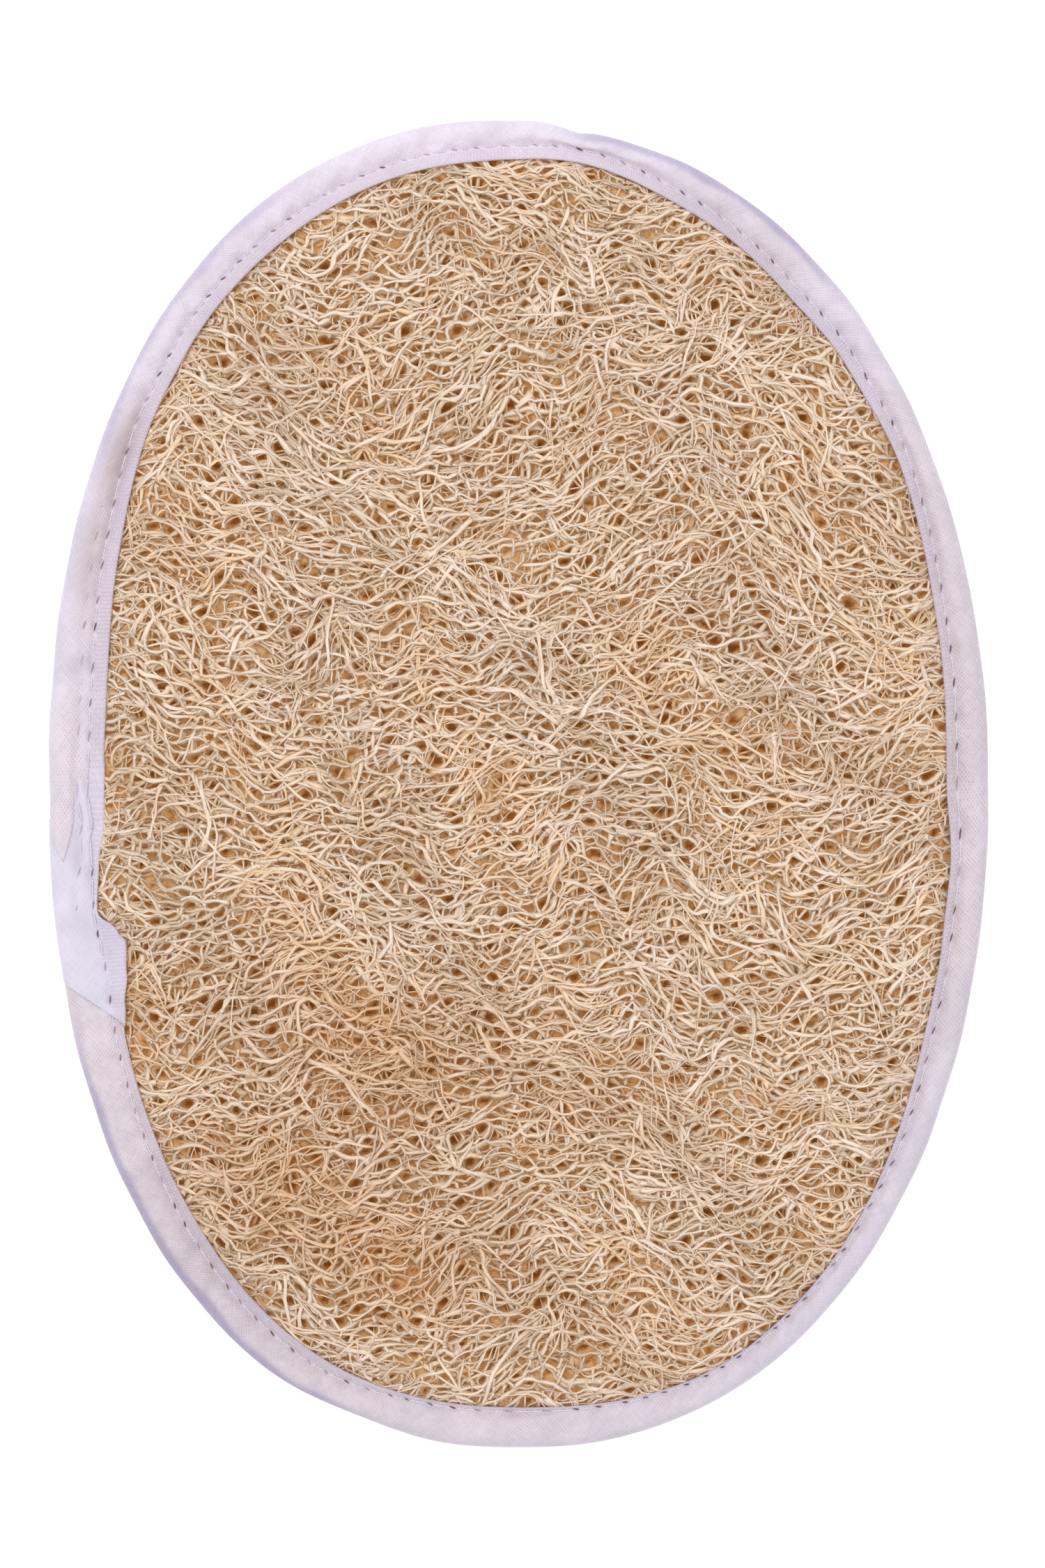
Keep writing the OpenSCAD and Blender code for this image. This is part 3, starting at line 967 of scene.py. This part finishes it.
def tape_rows(angle):
    """Folded tape's section at each angle, in rows from the back's edge round the rim to the
    face's: distance in from the rim, height, share of the way across, and if it's on the face."""
    _, _, width, seam_d, lip = tape_face(angle)
    low = SEAM_LOW_Z - TAPE_T
    curves = (
        ((TAPE_BACK_W, low + 0.1), (4.8, low - 0.12), (3.0, low - 0.12), (1.7, low - 0.05), 8),
        ((1.7, low - 0.05), (0.6, low), (0, low + 0.7), (0, RIM_MID_Z), 7),
        ((0, RIM_MID_Z), (0, 12.5), (0.45, PUFF_Z - 0.1), (1.6, PUFF_Z), 9),
        ((1.6, PUFF_Z), (2.6, PUFF_Z + 0.1), (seam_d - 0.6, SEAM_Z + 0.35), (seam_d, SEAM_Z), 15),
        ((seam_d, SEAM_Z), (seam_d + 0.3 * lip, SEAM_Z + 0.12), (width - 0.3 * lip, SEAM_Z + 0.22),
         (width - 0.06, SEAM_Z + 0.1), 9))
    parts = [np.array([[TAPE_BACK_W + 0.05], [low + 0.4]])]
    parts += [bezier(*curve, last=curve is curves[-1]) for curve in curves]
    parts.append((np.stack([width, width - 0.02], 1), np.array([SEAM_Z - 0.05, SEAM_Z - 0.25])))
    d, z = (np.concatenate([np.broadcast_to(part[axis], (len(angle), part[axis].shape[-1]))
                            for part in parts], 1) for axis in (0, 1))
    return d, z, np.clip(d[-1] / d[-1].max(), 0, 1), np.arange(d.shape[1]) >= FACE_ROW


def seam_dip(angle, off, off2):
    """How far the two rows of stitches pull the face down."""
    near, near2 = pinch(MAIN_SEAM, angle), pinch(OVERLAP_SEAM, angle)
    dip = 0.24 * near * np.exp(-(off / 0.4) ** 2)
    dip += 0.24 * near * np.exp(-(off / 1.5) ** 2) * (off < -ON_SEAM)
    dip += 0.1 * np.exp(-(off / 0.3) ** 2)
    in_second = (OVERLAP_SEAM.holes[0] < angle) & (angle < OVERLAP_SEAM.holes[-1])
    return dip + 0.15 * np.exp(-(off2 / 0.5) ** 2) * in_second * (1 + near2)


def shape_tape(angle, d, z, raise_by=0.0, outset=0.0):
    """Places rows (d, z) at their angles, with the seam's dimples, puckers and waves. A piece that
    lies over another is raised on the face, and set out round the rim and on the back."""
    outer, inward, width, seam_d, _ = tape_face(angle)
    place = outer + inward * d[..., None]
    along = angle * (HALF_W + HALF_L) / 2
    face_rows = np.arange(d.shape[1]) >= FACE_ROW
    on_face = face_rows * smoothstep(RIM_MID_Z, 13.0, z)
    off = d - seam_d
    off2 = off + overlap_margin(angle)
    puffed = smoothstep(0.0, 1.2, -off) * smoothstep(0.0, 1.6, d)
    lift = 0.19 * PUCKERS(along * 1.1, d * 0.35) * puffed + 0.15 * RIPPLES(along, d) * puffed
    lift += 0.1 * TAUT(along, 0 * d)
    z = z + on_face * (lift - seam_dip(angle, off, off2) + raise_by)
    drop = pocket_drop(outer) * (1 - on_face) * smoothstep(RIM_MID_Z, SEAM_LOW_Z, z)
    wobble = 0.04 * RIPPLES(outer[..., 0] * 0.7, outer[..., 1] * 0.7) * smoothstep(2.5, 0.0, d)
    wobble += outset * smoothstep(2.0, 0.5, d)
    place = place - inward * wobble[..., None]
    z = z - outset * ~face_rows * smoothstep(0.2, 1.5, d)
    points = np.concatenate([place, (z - drop)[..., None]], -1)

    slim = np.where(d < 1, TAPE_T + (1 - TAPE_T) * d, d)
    inner_z = SEAM_LOW_Z + (z - SEAM_LOW_Z + TAPE_T) * 0.62 - drop * 0.97
    inner_z = np.where(face_rows, np.minimum(inner_z, z - drop - 0.05 * on_face),
                       np.maximum(inner_z, z - drop + 0.08))
    inner = outer + inward * np.minimum(slim, width - 0.08)[..., None]
    inner = np.concatenate([inner, inner_z[..., None]], -1)
    facts = {"along": along, "d": d, "off": off, "off2": off2, "on_face": on_face, "angle": angle}
    return points, inner, facts


def tape_attributes(facts, coarse):
    """What the cloth's material needs at each point."""
    angle, off, along, on_face = (facts[key] for key in ("angle", "off", "along", "on_face"))
    degrees = np.degrees(angle) % 360
    # Painted shade on the turned-down side of the rim, fading inward from the rim
    turned = smoothstep(1.5, 0.6, facts["d"] + 0.2 * RIPPLES(along, 0 * off))
    xy = rim_point(angle)
    stain = np.zeros_like(off)
    for spot, size, strength in STAINS:
        near = np.exp(-((xy - spot) ** 2).sum(-1) / (2 * (size + 3) ** 2))
        stain += strength * near * smoothstep(2.5, 0.5, np.abs(facts["d"] - 3.0))
    return {"weave": np.stack([along, facts["d"], 0 * off], -1),
            "lip": smoothstep(0.1, 0.5, off) * on_face,
            "flap": smoothstep(197, 200, degrees) * smoothstep(213, 209, degrees),
            # painted shade on the turned-down side of the rim
            "turned": turned * lookup(RIM_PAINTED_SHADE, degrees),
            "phase": np.where(on_face > 0.5, MAIN_SEAM.phase(angle), 0.5), "off": off,
            "phase2": np.where(on_face > 0.5, OVERLAP_SEAM.phase(angle), 0.5),
            "off2": facts["off2"], "stain": stain, "coarse": coarse,
            # painted light and shade, lighter or darker by side
            "shade": lookup(SIDE_PAINTED_LIGHT, degrees)}


def column_angles(first_degrees, last_degrees):
    """Angles of the columns between two places, with whole steps in each stitch."""
    step = 360 / (STITCHES * STEPS_PER_STITCH)
    return np.radians(np.arange(first_degrees, last_degrees + step / 2, step))


def ease_ends(angle, rows, first=None, last=None, columns=20):
    """Slants a grid's end columns, so that it begins and ends at each row's own angle."""
    grid = np.repeat(angle[:, None], rows, 1)
    share = np.linspace(0, 1, columns + 1)[:, None]
    if first is not None:
        grid[:columns + 1] = first + (grid[columns] - first) * share
    if last is not None:
        inner = grid[-columns - 1]
        grid[-columns - 1:] = inner + (last - inner) * share
    return grid


def long_tape():
    """The bias tape, from under the lap's folded edge round the rim to its own pointed tail."""
    angle = column_angles(*TAPE_DEGREES)
    d, z, across, on_face = tape_rows(angle)
    tail = np.interp(across, *TAIL_SHAPE)
    tail = np.radians(360 + np.where(on_face, tail, TAIL_SHAPE[1][0]))
    grid = ease_ends(angle, d.shape[1], last=tail)
    near_tail = smoothstep(177.5, 180.6, np.degrees(grid) - 360)
    tucked = -0.42 * near_tail * smoothstep(0.44, 0.56, across)
    outer, inner, facts = shape_tape(grid, d, z, raise_by=tucked)
    degrees = np.degrees(grid) % 360
    coarse = 0.75 * smoothstep(185, 195, degrees) * smoothstep(275, 245, degrees)
    coarse += 0.5 * np.maximum(smoothstep(330, 350, degrees), smoothstep(50, 25, degrees))
    tape = shell("bias_tape", outer, inner, COARSE_CLOTH, tape_attributes(facts, coarse))
    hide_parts("binding_tape")
    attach(tape, "pad")


def short_lap():
    """The smooth piece that closes the gap: tucked under the tail, and folded at its other end."""
    angle = column_angles(*LAP_DEGREES)
    d, z, across, on_face = tape_rows(angle)
    start = np.where(on_face, np.interp(across, *TUCK_SHAPE), TUCK_SHAPE[1][0])
    rim_end, edge_end = FOLD_DEGREES
    fold = np.where(on_face, rim_end + (edge_end - rim_end) * across, rim_end)
    grid = ease_ends(angle, d.shape[1], first=np.radians(360 + start), last=np.radians(360 + fold))
    degrees = np.degrees(grid) - 360
    over = -0.3 + 0.62 * smoothstep(182.5, 189, degrees)
    bulge = 0.22 * smoothstep(184, 191, degrees) * smoothstep(fold, fold - 4, degrees)
    outer, inner, facts = shape_tape(grid, d, z, raise_by=over + bulge, outset=0.1)
    lap = shell("lap_tape", outer, inner, SMOOTH_CLOTH, tape_attributes(facts, 0 * d))
    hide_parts("binding_lap")
    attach(lap, "pad")


def sewn_row(name, node, seam, count, lift, margin=None, back=False):
    """One row of stitches as separate arcs of thread, each from hole to hole."""
    start, end = seam.holes[:count], seam.holes[1:count + 1]
    angle = start[:, None] + (end - start)[:, None] * np.linspace(0.14, 0.86, 11)
    degrees = np.degrees(angle % TURN)
    outer, inward, _, seam_d, _ = tape_face(angle % TURN)
    if margin is not None:
        seam_d = seam_d - margin(angle)
    place = outer + inward * seam_d[..., None]
    rise = np.sin(math.pi * np.linspace(0, 1, 11)) ** 0.6
    if back:
        z = SEAM_LOW_Z - TAPE_T - 0.1 - 0.2 * rise - pocket_drop(outer)
    else:
        lap_rise = 0.3 * smoothstep(185, 189, degrees) * smoothstep(199, 197, degrees)
        z = SEAM_Z - 0.4 + lift * rise + lap_rise + 0.1 * TAUT(angle * (HALF_W + HALF_L) / 2, 0)
    path = np.concatenate([place, z[..., None]], -1)
    size = np.full(angle.shape, THREAD_D)
    points, quads, along, around = tubes(path, size, size * 0.8, 0 * size, 6)
    streak = np.stack([along, around + 0 * along, 0 * along], -1).reshape(-1, 3)
    row = make_mesh(name, points, quads, THREAD, {"streak": streak})
    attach(row, "pad")
    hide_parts(node)


def build_stitching():
    """The two rows on the face and the one on the back."""
    overlap_count = len(OVERLAP_SEAM.holes) - 1
    sewn_row("needle_stitches", "needle_thread", MAIN_SEAM, STITCHES, 0.42)
    sewn_row("overlap_stitches", "overlap_thread", OVERLAP_SEAM, overlap_count, 0.36,
             margin=overlap_margin)
    sewn_row("bobbin_stitches", "bobbin_thread", MAIN_SEAM, STITCHES, 0.4, back=True)


# ---- back: foam, terry and strap


DOME_RISE = (6.5, 17.0)
LOOP_ROW = 2.4
LOOP_PITCH = 2.2


def cloth_low(x, y, reach):
    """Height of the back cloth's underside: domed over the foam, flat in the seam."""
    inset = (1 - reach) * np.hypot(x, y) / np.maximum(reach, 0.02)
    return SEAM_LOW_Z + (CLOTH_LOW[2] + 0.25 - SEAM_LOW_Z) * smoothstep(*DOME_RISE, inset)


def build_back():
    """The terry back, in rows of small loops, and the foam that it shuts in."""
    xy, reach = oval_grid(178, 250, 1.5)
    x, y = xy[..., 0], xy[..., 1]
    row_wave = np.sin(TURN * x / LOOP_ROW + 0.8 * Waves(91, 12)(x, y))
    loop_wave = np.sin(TURN * y / LOOP_PITCH + 0.9 * Waves(92, 9)(x, y))
    nub = 0.5 * row_wave * loop_wave + 0.35 * Waves(93, 2.6)(x, y)
    in_open = smoothstep(1.0, 0.93, reach)
    level = cloth_low(x, y, reach)
    low = np.stack([x, y, level - 0.22 * np.clip(nub, -1, 1) * in_open], -1)
    high = np.stack([x, y, level + 0.95 * in_open + 0.6], -1)
    # Painted shade: this depth darkens the terry between its loops
    cloth = shell("back_terry", high, low, TERRY, {"depth": np.clip(0.5 - 0.6 * nub, 0, 1)})
    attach(cloth, "pad")
    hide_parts("back_cloth")

    xy, reach = oval_grid(70, 100, 9.0)
    x, y = xy[..., 0], xy[..., 1]
    edge = smoothstep(1.0, 0.8, reach)
    low = np.stack([x, y, LOOFAH_LOW[2] - 0.35 - 1.45 * edge], -1)
    high = np.stack([x, y, LOOFAH_LOW[2] - 0.05 + 0 * x], -1)
    foam = shell("foam_sheet", high, low, FOAM, {})
    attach(foam, "pad")
    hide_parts("foam_core")


CROWN_X = 26.0
RIB_PITCH = 1.9
MIDDLE_LAP = 0.8


def strap_under(x):
    """Height of the strap's underside, as in the CAD: a flat crown, then a bend up to the seam."""
    free = STRAP_HIGH[0]
    run = np.clip((free - np.abs(x)) / (free - CROWN_X), 0, 1)
    in_seam = smoothstep(free - 1.5, free + 1.0, np.abs(x))
    rise = STRAP_END_LOW[2] - 0.3
    return rise * (1 - np.sin(math.pi / 2 * run)) + 0.3 * in_seam


def build_strap():
    """The elastic hand strap in two halves, each running out to its sewn end."""
    thick = STRAP_END_HIGH[2] - STRAP_END_LOW[2]
    half_w = STRAP_HIGH[1]
    end_x = STRAP_END_HIGH[0] - 0.1
    run, across = np.meshgrid(np.linspace(-MIDDLE_LAP, end_x, 150), np.linspace(-1, 1, 161),
                              indexing="ij")
    lapped = 0.75 + 0.25 * smoothstep(-MIDDLE_LAP, 0, run)
    y = across * half_w * (1 - 0.012 * smoothstep(30, 55, run))
    rib = np.abs(np.sin(math.pi * across * half_w / RIB_PITCH))
    rounding = smoothstep(1.0, 0.965, np.abs(across))
    body = thick * (0.72 + 0.28 * rounding * rib) * lapped
    for name, side, nodes in (("strap_left", -1, ("strap_end_left", "hand_strap")),
                              ("strap_right", 1, ("strap_end_right",))):
        x = side * run
        ripple = 0.04 * np.sin(TURN * x / 0.9 + 2 * across)
        middle = strap_under(x) + thick / 2
        high = np.stack([x, y, middle + (body / 2 + ripple) * (0.35 + 0.65 * rounding)], -1)
        low = np.stack([x, y, middle - body / 2 * (0.35 + 0.65 * rounding)], -1)
        weave_at = np.stack([x, y, 0 * run], -1)
        # Painted shade: darker in the valleys between the ribs and at the edges
        half = shell(name, high, low, ELASTIC, {"weave": weave_at, "depth": 1 - rib * rounding},
                     flip=side < 0)
        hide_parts(*nodes)
        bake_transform(half)


# ---- floor, light and camera


def build_stage():
    n = Nodes("floor")
    n.finish(srgb(252, 252, 252), Roughness=0.9, Specular_IOR_Level=0.0,
             Emission_Color=(1.0, 1.0, 1.0, 1.0), Emission_Strength=0.25)
    size = 3.0 / MM
    corners = [(-size, -size, 0), (size, -size, 0), (size, size, 0), (-size, size, 0)]
    make_mesh("floor", corners, [[0, 1, 2, 3]], n.material, smooth=False)


def add_area_light(name, power, size, place):
    data = bpy.data.lights.new(name, "AREA")
    data.energy, data.size = power, size
    light = bpy.data.objects.new(name, data)
    bpy.context.scene.collection.objects.link(light)
    light.location = place
    light.rotation_euler = (-Vector(place)).to_track_quat("-Z", "Y").to_euler()


def build_light_and_camera():
    scene = bpy.context.scene
    world = bpy.data.worlds.new("studio")
    world.use_nodes = True
    background = world.node_tree.nodes["Background"]
    background.inputs["Color"].default_value = (0.98, 0.98, 1.0, 1)
    background.inputs["Strength"].default_value = 0.86
    scene.world = world
    add_area_light("key", 3.4, 0.45, (-0.3, 0.42, 0.85))
    add_area_light("fill", 1.6, 0.9, (0.5, -0.35, 0.9))
    scene.view_settings.view_transform = "Standard"
    scene.view_settings.look = "None"

    frame_height = 188.0 * MM
    data = bpy.data.cameras.new("camera")
    data.sensor_fit = "VERTICAL"
    data.sensor_height = 36.0
    data.lens = 100.0
    distance = frame_height * data.lens / data.sensor_height
    camera = bpy.data.objects.new("camera", data)
    scene.collection.objects.link(camera)
    camera.location = (0.42 * MM, -0.13 * MM, distance + TAPE_HIGH[2] * MM)
    data.clip_start, data.clip_end = 0.01, 20
    scene.camera = camera


build_light_and_camera()
build_stage()
build_loofah()
long_tape()
short_lap()
build_stitching()
build_back()
build_strap()
